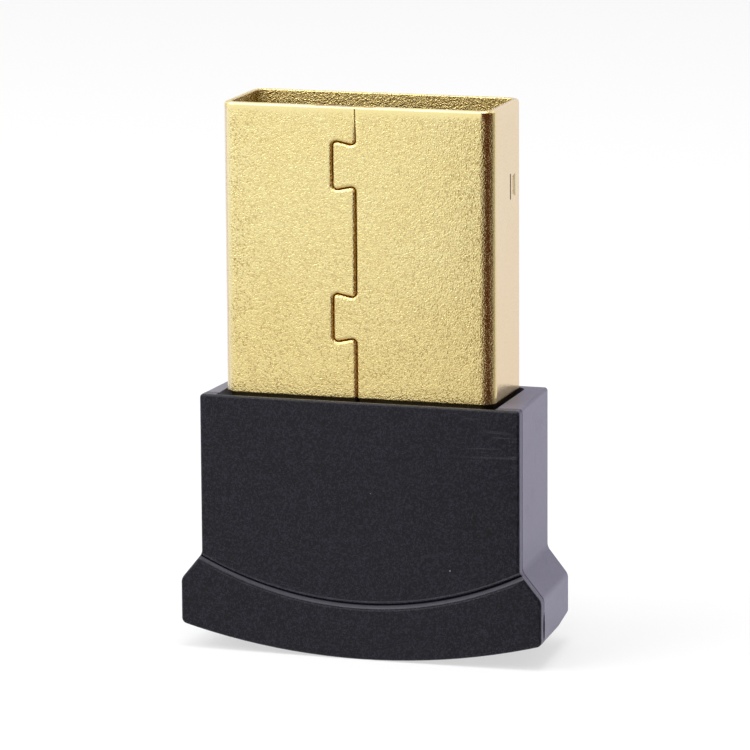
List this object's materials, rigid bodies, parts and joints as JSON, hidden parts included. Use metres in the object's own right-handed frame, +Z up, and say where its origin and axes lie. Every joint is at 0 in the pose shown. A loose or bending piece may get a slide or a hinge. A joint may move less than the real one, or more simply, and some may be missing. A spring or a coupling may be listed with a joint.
{
  "type": "wireless usb adapter",
  "caption": "Miniature wireless adapter: a gold-plated plug shell with a folded, dovetailed seam in a black two-piece housing with a flared foot and a curved end.",
  "frame": {"origin": "under the middle of the housing, at the lowest point of its curved end", "axes": "+Z up, from the curved end to the plug's mouth; +X to the right seen from the front; -Y to the front, the side with the seam and the groove"},
  "size_m": [0.0162, 0.0054, 0.0237],
  "materials": {
    "front_cover": "black, finely textured",
    "rear_cover": "black, satin",
    "gold_plating": "thin gold plating, satin",
    "carrier_plastic": "black, moulded",
    "contact_gold": "gold plated",
    "board_laminate": "green solder mask",
    "antenna_copper": "printed copper",
    "ceramic": "fired, matt",
    "chip_black": "moulded, matt",
    "resistor_black": "glazed",
    "crystal_metal": "bright can",
    "ferrite": "matt"
  },
  "bodies": {
    "root": {"front_cover": "front_cover", "rear_cover": "rear_cover", "plug_shell": "gold_plating", "contact_carrier": "carrier_plastic", "contact_power": "contact_gold", "contact_data_minus": "contact_gold", "contact_data_plus": "contact_gold", "contact_ground": "contact_gold", "circuit_board": "board_laminate", "antenna_trace": "antenna_copper", "antenna_filter": "ceramic", "radio_chip": "chip_black", "memory_chip": "chip_black", "voltage_regulator": "chip_black", "crystal": "crystal_metal", "supply_inductor": "ferrite", "capacitor_left_1": "ceramic", "capacitor_left_2": "ceramic", "capacitor_left_3": "ceramic", "capacitor_left_4": "ceramic", "capacitor_right_1": "ceramic", "capacitor_right_2": "ceramic", "resistor_1": "resistor_black", "resistor_2": "resistor_black"}
  },
  "joints": []
}
